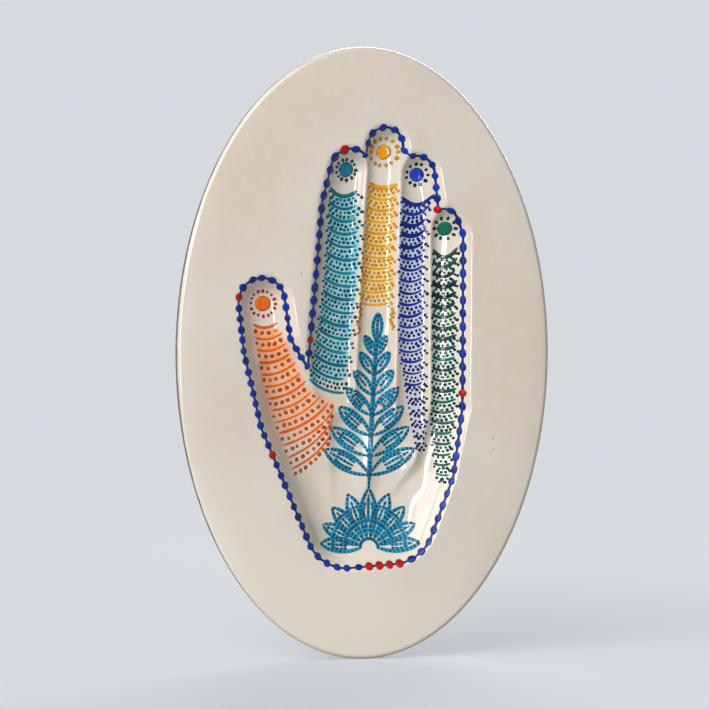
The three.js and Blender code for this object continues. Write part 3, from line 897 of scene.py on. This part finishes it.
# Finger bands: two edges from the tip downwards, arcs across between them, and dots between the arcs. Each
# row goes from thumb to little finger, and paints are pale and deep.
BAND_ROWS = {
    "slot": ("enamel_orange", "enamel_teal", "enamel_yellow", "enamel_ring_blue", "enamel_green"),
    "left": (
        [(-45.9, 12.6), (-44.1, -0.2), (-40.7, -15.6), (-35.6, -32.3), (-27.6, -53)],
        [(-13.6, 69.4), (-15, 46.3), (-16.8, 24.7), (-19.8, 6), (-22.4, -10)],
        [(3, 71.4), (1.4, 55.9), (0.6, 43), (-0.7, 28), (-1.2, 21.6)],
        [(16.6, 65.2), (15.6, 37.2), (15.6, 1.8), (19, -14.8), (23.6, -41)],
        [(30.4, 43.4), (29.8, 26.8), (30, 1.8), (29.6, -27.3), (30.8, -46), (32.4, -55)],
    ),
    "right": (
        [(-35.4, 13.1), (-31.2, 3.5), (-27, -6), (-22, -14.8), (-11.1, -20.2), (-12.6, -36)],
        [(-1.8, 67.8), (-1, 47.6), (-2.2, 26.8), (-3.8, 10.2), (-7.2, -16.4)],
        [(15, 70.8), (14.3, 58), (13.5, 42.2), (12.8, 21.6)],
        [(30.4, 66.6), (28, 59), (26.8, 37.2), (26.8, 1.8), (26.4, -14.8), (26.6, -42)],
        [(40.6, 44.2), (40.2, 22.6), (40.4, 1.8), (40.2, -23.1), (37.8, -40.5), (36.2, -55.4)],
    ),
    "tails": ((), (), [((-0.4, 20.8), (-1.4, 8.1)), ((12.5, 20.8), (12.9, 10.2))], (), ()),
    "rows": (13, 15, 10, 22, 22),
    "bare_rows": (0, 0, 0, 6, 0),  # rows at the foot without an arc
    "closed": (False, True, True, False, False),
    "sag": ((0.17, 0.1), (0.25, 0.11), (0.17, 0.09), (0.28, 0.14), (0.36, 0.12)),  # at the tip and the foot
    "arc": (
        ((238, 126, 26), (212, 86, 0)),
        ((22, 140, 156), (0, 98, 116)),
        ((232, 178, 38), (212, 142, 4)),
        ((30, 72, 188), (0, 20, 116)),
        ((40, 118, 94), (0, 32, 30)),
    ),
    "arc_width": (1.05, 1.25, 1, 1.65, 1.5),
    "first_width": (1.3, 1.7, 1.9, 1.9, 1.5),
    "heavy": ((1, 0.9), (1, 1), (1, 1), (1.3, 0.6), (1.2, 1)),  # an arc's weight at its left and right end
    "fade": (0, 0, 0, 0.5, 0.8),  # how much paler and thinner the arcs get downwards
    "thin": (0, 0, 0, 0.6, 0.45),
    "dot": (
        ((194, 92, 28), (160, 62, 0)),
        ((12, 92, 108), (0, 56, 72)),
        ((206, 152, 38), (184, 120, 6)),
        ((18, 32, 122), (0, 2, 50)),
        ((8, 48, 42), (0, 18, 16)),
    ),
    "dot_lines": (1, 2, 2, 2, 2),
    "dot_size": (1.65, 1.3, 1.3, 1.25, 1.25),
    "dot_pitch": (2.7, 1.75, 1.9, 1.85, 1.8),
    "overrun": ((0, 0.2), (0.4, 1.7), (0.2, 1), (0.3, 1.6), (0.2, 0.7)),  # of dots past both edges
    "wash": ((252, 152, 78), (100, 196, 212), (242, 202, 98), (172, 200, 252), (204, 232, 220)),
    "wash_tip": (0.9, 0.9, 0.9, 0.85, 0.7),
    "wash_low": (0.45, 0.85, 0.9, 0.4, 0.85),
    "wash_foot": (0, 2.5, 0, 0, 0),  # how far it runs on below the band
    "disc": (
        ((244, 122, 20), (230, 92, 2)),
        ((30, 146, 170), (0, 92, 128)),
        ((248, 178, 24), (236, 146, 0)),
        ((28, 86, 204), (4, 46, 156)),
        ((24, 128, 100), (2, 74, 58)),
    ),
    "disc_radius": (3.4, 3.3, 3.2, 3.15, 3.15),
    "disc_drop": (0, 0, 0.8, 0, 0),
    "halo": (
        ((196, 54, 42), (166, 28, 26)),
        ((24, 104, 118), (4, 64, 80)),
        ((208, 156, 46), (184, 124, 14)),
        ((20, 26, 92), (4, 6, 46)),
        ((22, 80, 66), (4, 46, 40)),
    ),
    "halo_radius": (5.3, 4.3, 5.75, 4.4, 4.4),
    "halo_dots": (16, 13, 14, 11, 10),
    "halo_size": ((1.5, 1.3), (1.7, 1.45), (1.9, 1.75), (1.6, 1.45), (2, 1.5)),
}
BANDS = {finger: {key: row[k] for key, row in BAND_ROWS.items()} for k, finger in enumerate(FINGER_LEANS)}
SAG_EASE = 4  # how soon the arcs flatten on their way down a finger
WASH_EDGE = (-0.8, 0.8)  # the wash fades in over this range inside a band's edge
WASH_TOP = (1, 3)
WASH_LOW = (-1, 3)
WASH_RAGGED = 0.5
WASH_WAVES = (2.1, 1.7)  # of its ragged edge, across and up
WASH_SWAY = (2, 0.9)
ARC_POINTS = 15
ARC_LIFT = 0.07
ARC_END = 0.12
ARC_BLUNT = 2.6  # how soon an arc is at its full width
ARC_TILT = 0.35
ARC_STRAY = 0.15
ARC_REACH = (0.92, 1.02)  # where an arc ends, as a share of the band's breadth
ARC_VARY = (0.8, 1.25)
ARC_TONES = (0.2, 0.9)
FIRST_ARC_TONE = 0.7
CLOSING_ARC_TONE = 0.5
BARE_DOT_LINES = 3
DOT_LIFT = 0.08
DOT_STRAY = 0.13
DOT_START = 0.25  # where a line's first dot lies in its spacing, and how far every second line is shifted
DOT_STAGGER = 0.5
DOT_VARY = (0.82, 1.18)
DOT_SHAPE = (1.1, 0.94)
DOT_TONES = (0.2, 1)
DOT_TURNS = (0, 3)
ROUND = 2  # fullness of a round dab
TAIL_PITCH = 0.95
TAIL_STRAY = 0.7
DISC_LIFT = 0.1
DISC_BREADTH = 0.96
DISC_TONE = 0.5
HALO_STRAY = 0.08
HALO_RADIUS_VARY = (0.96, 1.04)
HALO_DOT_VARY = (0.85, 1.15)
HALO_TONES = (0.3, 1)


def along_edge(points, share):
    """A point at a share of the way along an edge"""
    points = np.array(points, float)
    run = run_along(points)
    return point_at(share * run[-1], run, points)


def band_row(band, share, across):
    """Points at shares of the way from the left edge to the right one, sagging towards the wrist"""
    left, right = along_edge(band["left"], share), along_edge(band["right"], share)
    first, last = band["sag"]
    chord = right - left
    down = np.array([chord[1], -chord[0]]) * (last + (first - last) * math.exp(-SAG_EASE * share))
    across = across[:, None]
    return left + chord * across + down * 4 * across * (1 - across)


def band_dots(band, share, shift):
    """Evenly spaced places across a band, which run a little past its edges"""
    room = np.linalg.norm(along_edge(band["right"], share) - along_edge(band["left"], share))
    before, after = (run / room for run in band["overrun"])
    count = max(2, round((1 + before + after) * room / band["dot_pitch"]))
    across = (np.arange(count) + DOT_START + DOT_STAGGER * shift) / count
    return band_row(band, share, across * (1 + before + after) - before)


def lay_band(finger, band):
    arcs, dots, first = Enamel(), Enamel(), Enamel()
    across = np.linspace(0, 1, ARC_POINTS)
    full = np.clip(np.sin(np.linspace(ARC_END, math.pi - ARC_END, ARC_POINTS)) * ARC_BLUNT, 0, 1)
    full *= np.interp(across, (0, 1), band["heavy"])

    def dot(x, y):
        x, y = x + CHANCE.normal(0, DOT_STRAY), y + CHANCE.normal(0, DOT_STRAY)
        size = band["dot_size"] * between(DOT_VARY)
        length, width = (size * share for share in DOT_SHAPE)
        turn = between(DOT_TURNS)
        dots.dab(x, y, length, width, turn, ROUND, DOT_LIFT, between(DOT_TONES))

    rows = band["rows"]
    arc_rows = rows - band["bare_rows"]
    for row in range(rows):
        if row == 0:
            line = band_row(band, 0, across)
            first.stroke(line, band["first_width"] / 2 * full, ARC_LIFT, FIRST_ARC_TONE)
        elif row <= arc_rows:
            line = band_row(band, row / rows, across * between(ARC_REACH))
            line[:, 1] += CHANCE.normal(0, ARC_STRAY) + (across - 0.5) * CHANCE.normal(0, ARC_TILT)
            thinner = 1 - band["thin"] * row / rows
            half = band["arc_width"] / 2 * between(ARC_VARY) * thinner
            tone = between(ARC_TONES) + band["fade"] * (0.5 - row / rows)
            arcs.stroke(line, half * full, ARC_LIFT, tone)
        lines = band["dot_lines"] if row < arc_rows else BARE_DOT_LINES
        for dot_line in range(lines):
            share = (row + (dot_line + 1) / (lines + 1)) / rows
            for place in band_dots(band, share, dot_line % 2):
                dot(*place)
    if band["closed"]:
        arcs.stroke(band_row(band, 1, across), band["arc_width"] / 2 * full, ARC_LIFT, CLOSING_ARC_TONE)
    for start, end in band["tails"]:
        for height_share in np.arange(0, 1, TAIL_PITCH / math.dist(start, end)):
            x, y = np.array(start) + (np.array(end) - start) * height_share
            dot(x + CHANCE.uniform(-TAIL_STRAY, TAIL_STRAY), y)
    arc_paint = enamel_material(f"{finger}_arcs", *band["arc"])
    dot_paint = enamel_material(f"{finger}_dots", *band["dot"])
    first.lay(f"{finger}_first_arc", arc_paint, band["slot"], [f"crescent_{finger}"])
    arcs.lay(f"{finger}_arcs", arc_paint, band["slot"])
    dots.lay(f"{finger}_dots", dot_paint, band["slot"])


def lay_washes(plaque):
    """Thin colour on the glaze under the bands, strongest between their edges"""
    mesh = plaque.data
    places = np.empty(len(mesh.vertices) * 3, np.float32)
    mesh.vertices.foreach_get("co", places)
    x, out, y = (places.reshape(-1, 3) / MM).T
    washes = np.zeros((len(x), 4), np.float32)
    (rate_across, rate_up), (sway, sway_rate) = WASH_WAVES, WASH_SWAY
    ragged = WASH_RAGGED * np.sin(x * rate_across + np.sin(y * sway_rate) * sway) * np.sin(y * rate_up + x)
    for band in BANDS.values():
        left, right = (np.array(band[side])[::-1].T for side in ("left", "right"))
        inside = np.minimum(x - np.interp(y, left[1], left[0]), np.interp(y, right[1], right[0]) - x)
        low = max(left[1][0], right[1][0]) - band["wash_foot"]
        high = min(left[1][-1], right[1][-1])
        share = smooth_step(inside + ragged, *WASH_EDGE)
        share *= smooth_step(high - y, *WASH_TOP) * smooth_step(y - low, *WASH_LOW)
        share *= band["wash_low"] + (band["wash_tip"] - band["wash_low"]) * smooth_step(y, low, high)
        share *= -out > FOOT_HEIGHT
        washes[share > 0, :3] = srgb(*band["wash"])[:3]
        washes[:, 3] = np.maximum(washes[:, 3], share)
    layer = mesh.attributes.new("wash", "FLOAT_COLOR", "POINT")
    layer.data.foreach_set("color", washes.reshape(-1))


def lay_fingertip(finger, band):
    node = f"fingertip_disc_{finger}"
    low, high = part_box(node)
    x, y = (low.x + high.x) / 2 / MM, (low.z + high.z) / 2 / MM
    disc, halo = Enamel(), Enamel()
    y -= band["disc_drop"]
    across = 2 * band["disc_radius"]
    turn = between(DOT_TURNS)
    disc.dab(x, y, across, across * DISC_BREADTH, turn, ROUND, DISC_LIFT, DISC_TONE)
    disc.lay(f"{finger}_disc", enamel_material(f"{finger}_disc", *band["disc"]), band["slot"], [node])
    length, width = band["halo_size"]
    for k in range(band["halo_dots"]):
        turn = (k + CHANCE.normal(0, HALO_STRAY)) / band["halo_dots"] * math.tau
        radius = band["halo_radius"] * between(HALO_RADIUS_VARY)
        size = between(HALO_DOT_VARY)
        halo.dab(x + radius * math.cos(turn), y + radius * math.sin(turn), length * size, width * size,
                 turn, ROUND, DOT_LIFT, between(HALO_TONES))
    halo.lay(f"{finger}_halo", enamel_material(f"{finger}_halo", *band["halo"]), band["slot"])


# Palm: a sprig of leaves that grows out of a fan of petals at the wrist
STEM = [(3.4, -57), (4.4, -24), (7.1, 15)]
STEM_POINTS = 40
STEM_HALF = 1.04
# Pairs of leaves: height on the stem, length, and lean from upright in degrees
LEAVES = [(-51, 22, 60), (-43, 20.5, 54), (-34.5, 18.5, 48), (-26, 16, 43), (-17.5, 13.5, 38),
          (-9, 11.5, 33), (-1, 9.5, 28)]
LEAF_WIDTH = 0.3  # share of the length
LEAF_BELLY = 0.55  # how far along its sides bulge most
LEAF_POINTS = 14
LONG_LEAF = 14  # leaves above this length have an inner pair of lines
VEIN_WIDTH = 0.42  # how wide the inner pair opens, as a share of the leaf
VEIN_REACH = 0.74
VEIN_START = 0.34  # share of the leaf that its inner lines leave free at the base
VEIN_BELLY = 0.75
VEIN_ENDS = (0.5, 0.4)  # how wide it is open at its start and its end
VEIN_POINTS = 10
MIDRIB_END = 0.86
MIDRIB_POINTS = 8
BUD_LENGTH = 12
BUD_HEADING = 86
BUD_PLACE = -6  # among the stem's points
FAN_CENTRE = (3.4, -81.5)
FAN_HUB = 3
FAN_PETALS = 9
FAN_SPREAD = 84  # degrees either side of upright
FAN_LENGTHS = (25, 21)  # upright, and at the ends of the fan
FAN_WIDTH = 0.3
LINE_HALF = 0.8
FINE_HALF = 0.64
LINE_END = 0.15
LINE_BLUNT = 2.2
LINE_LEAST = 0.3
LINE_VARY = (0.8, 1.2)
LINE_TONES = (0.2, 0.8)
LINE_DOT = 1.15
LINE_DOT_PITCH = 1.75
LINE_DOT_TONES = (0.3, 1)
LINE_PAINT = ((40, 170, 200), (6, 122, 162))
LINE_DOT_PAINT = ((8, 94, 124), (0, 60, 86))


def lay_palm():
    lines, dots = Enamel(), Enamel()

    def dotted(line, half):
        ends = np.sin(np.linspace(LINE_END, math.pi - LINE_END, len(line)))
        taper = np.clip(ends * LINE_BLUNT, LINE_LEAST, 1)
        lift = ARC_LIFT * between(LINE_VARY)
        lines.stroke(line, half * taper, lift, between(LINE_TONES))
        run = run_along(line)
        for place in np.arange(LINE_DOT_PITCH / 2, run[-1], LINE_DOT_PITCH):
            x, y = point_at(place, run, line)
            size = LINE_DOT * between(LINE_VARY)
            dots.dab(x, y, size, size, 0, ROUND, DOT_LIFT + ARC_LIFT, between(LINE_DOT_TONES))

    def leaf(base, heading, length, width):
        base = np.array(base, float)
        ahead = np.array([math.cos(heading), math.sin(heading)]) * length
        aside = np.array([-ahead[1], ahead[0]]) * width
        rib_start = base + ahead * VEIN_START
        reach = ahead * VEIN_REACH
        for side in (-1, 1):
            belly = base + ahead * LEAF_BELLY + aside * side
            dotted(bezier(base, belly, base + ahead, LEAF_POINTS), LINE_HALF)
            if length > LONG_LEAF:
                opening = aside * VEIN_WIDTH * side
                start, end = (opening * share for share in VEIN_ENDS)
                belly = base + reach * VEIN_BELLY + opening
                dotted(bezier(rib_start + start, belly, base + reach + end, VEIN_POINTS), FINE_HALF)
        dotted(np.linspace(rib_start, base + ahead * MIDRIB_END, MIDRIB_POINTS), FINE_HALF)

    stem = bezier(*STEM, STEM_POINTS)
    dotted(stem, STEM_HALF)
    for level, length, lean in LEAVES:
        base = (np.interp(level, stem[:, 1], stem[:, 0]), level)
        for side in (-1, 1):
            leaf(base, math.radians(90 - side * lean), length, LEAF_WIDTH)
    leaf(stem[BUD_PLACE], math.radians(BUD_HEADING), BUD_LENGTH, LEAF_WIDTH)
    for k in range(FAN_PETALS):
        lean = (2 * k / (FAN_PETALS - 1) - 1) * FAN_SPREAD
        length = FAN_LENGTHS[0] + (FAN_LENGTHS[1] - FAN_LENGTHS[0]) * abs(lean) / FAN_SPREAD
        heading = math.radians(90 - lean)
        start = np.array(FAN_CENTRE) + FAN_HUB * np.array([math.cos(heading), math.sin(heading)])
        leaf(start, heading, length - FAN_HUB, FAN_WIDTH)
    lines.lay("palm_lines", enamel_material("palm_lines", *LINE_PAINT), "enamel_teal")
    dots.lay("palm_dots", enamel_material("palm_dots", *LINE_DOT_PAINT), "enamel_teal")


lay_washes(build_plaque(glaze_material()))
lay_beads()
for finger_name, finger_band in BANDS.items():
    lay_fingertip(finger_name, finger_band)
    lay_band(finger_name, finger_band)
lay_palm()


# Stage
BACKGROUND = srgb(214, 218, 224)
FLOOR_BOUNCE = srgb(118, 120, 124)  # the floor's colour in the light that it throws back
FLOOR_LEVEL = plaque_low.z
FLOOR_RADIUS = 8.0
FLOOR_SIDES = 96
FLOOR_ROUGHNESS = 0.9
FLOOR_FADE = (0.25, 0.9)  # distances over which it fades into the backdrop
FLOOR_GLOW = 0.55  # how much of the background's own colour the floor shows near the object


def camera_like(tree):
    """1 for rays that show the background to the camera, in mirrors or through glass"""
    path = tree.nodes.new("ShaderNodeLightPath")
    seen = sum_up(tree, "ADD", path.outputs["Is Camera Ray"], path.outputs["Is Glossy Ray"])
    return sum_up(tree, "ADD", seen, path.outputs["Is Transmission Ray"], clamp=True)


def send_mix(tree, output, share, first, second):
    """Sends a mix of two shaders to an output"""
    both = tree.nodes.new("ShaderNodeMixShader")
    for source, socket in zip((share, first.outputs[0], second.outputs[0]), both.inputs):
        tree.links.new(source, socket)
    tree.links.new(both.outputs[0], output.inputs["Surface"])


def build_floor():
    turns = np.arange(FLOOR_SIDES) / FLOOR_SIDES * math.tau
    points = [(FLOOR_RADIUS * math.cos(t), FLOOR_RADIUS * math.sin(t), FLOOR_LEVEL) for t in turns]
    mesh = bpy.data.meshes.new("floor")
    mesh.from_pydata(points, [], [list(range(len(points)))])
    floor = into_scene("floor", mesh)
    material, tree, shader = new_material("floor")
    tree.links.new(blend(tree, camera_like(tree), FLOOR_BOUNCE, BACKGROUND), shader.inputs["Base Color"])
    shader.inputs["Roughness"].default_value = FLOOR_ROUGHNESS
    far = tree.nodes.new("ShaderNodeEmission")
    far.inputs["Color"].default_value = BACKGROUND
    distance = tree.nodes.new("ShaderNodeVectorMath")
    distance.operation = "LENGTH"
    tree.links.new(place_of(tree), distance.inputs[0])
    share = spread(tree, distance.outputs["Value"], *FLOOR_FADE, FLOOR_GLOW)
    output = next(n for n in tree.nodes if n.type == "OUTPUT_MATERIAL")
    send_mix(tree, output, sum_up(tree, "MULTIPLY", share, camera_like(tree)), shader, far)
    mesh.materials.append(material)


AMBIENT = 0.05


def build_world():
    world = bpy.data.worlds.new("studio")
    world.use_nodes = True
    bpy.context.scene.world = world
    tree = world.node_tree
    tree.nodes.clear()
    light = tree.nodes.new("ShaderNodeBackground")
    light.inputs["Color"].default_value = (1, 1, 1, 1)
    light.inputs["Strength"].default_value = AMBIENT
    shown = tree.nodes.new("ShaderNodeBackground")
    shown.inputs["Color"].default_value = BACKGROUND
    send_mix(tree, tree.nodes.new("ShaderNodeOutputWorld"), camera_like(tree), light, shown)


FACE_CENTRE = Vector((0, -FACE * MM, 0))


def direction(azimuth, elevation):
    """Towards a viewer at that azimuth, counted from the front to the right, and elevation, in degrees"""
    a, e = math.radians(azimuth), math.radians(elevation)
    return Vector((math.sin(a) * math.cos(e), -math.cos(a) * math.cos(e), math.sin(e)))


# Lamps: azimuth, elevation, distance, width, height and power
LAMPS = {
    "key": (-43, 30, 4.5, 4.6, 4, 252),
    "window": (-18, 1.5, 1.2, 0.13, 0.32, 2.9),
    "edge_strip": (-86, 4, 1.4, 0.16, 1.4, 2.5),
    "back": (160, 25, 2.4, 1.6, 1.6, 42),
}


def build_lamps():
    for name, (azimuth, elevation, distance, width, tall, power) in LAMPS.items():
        data = bpy.data.lights.new(name, "AREA")
        data.shape = "RECTANGLE"
        data.size, data.size_y = width, tall
        data.energy = power
        lamp = into_scene(name, data)
        back = direction(azimuth, elevation)
        lamp.location = FACE_CENTRE + back * distance
        lamp.rotation_euler = back.to_track_quat("Z", "Y").to_euler()


# Camera, fitted to the oval in the photograph's frame of 709 by 709 pixels
FRAME_PIXELS = 709
OVAL_CENTRE = (364.1, 354.2)
OVAL_HALF_HEIGHT = 306.5
CAMERA_AZIMUTH = -10
CAMERA_ELEVATION = 2.5
CAMERA_DISTANCE = 1.6
CAMERA_CLIP = (0.01, 50)


def build_camera():
    data = bpy.data.cameras.new("camera")
    camera = into_scene("camera", data)
    pixels_per_metre = OVAL_HALF_HEIGHT / (HALF_HEIGHT * MM)
    data.lens = data.sensor_width * pixels_per_metre * CAMERA_DISTANCE / FRAME_PIXELS
    back = direction(CAMERA_AZIMUTH, CAMERA_ELEVATION)
    turn = back.to_track_quat("Z", "Y")
    right = turn @ Vector((1, 0, 0))
    up = turn @ Vector((0, 1, 0))
    aside = (OVAL_CENTRE[0] - FRAME_PIXELS / 2) / pixels_per_metre
    above = (FRAME_PIXELS / 2 - OVAL_CENTRE[1]) / pixels_per_metre
    camera.location = FACE_CENTRE + back * CAMERA_DISTANCE - right * aside - up * above
    camera.rotation_mode = "QUATERNION"
    camera.rotation_quaternion = turn
    data.clip_start, data.clip_end = CAMERA_CLIP
    bpy.context.scene.camera = camera


build_floor()
build_world()
build_lamps()
build_camera()
bpy.context.scene.view_settings.view_transform = "Standard"
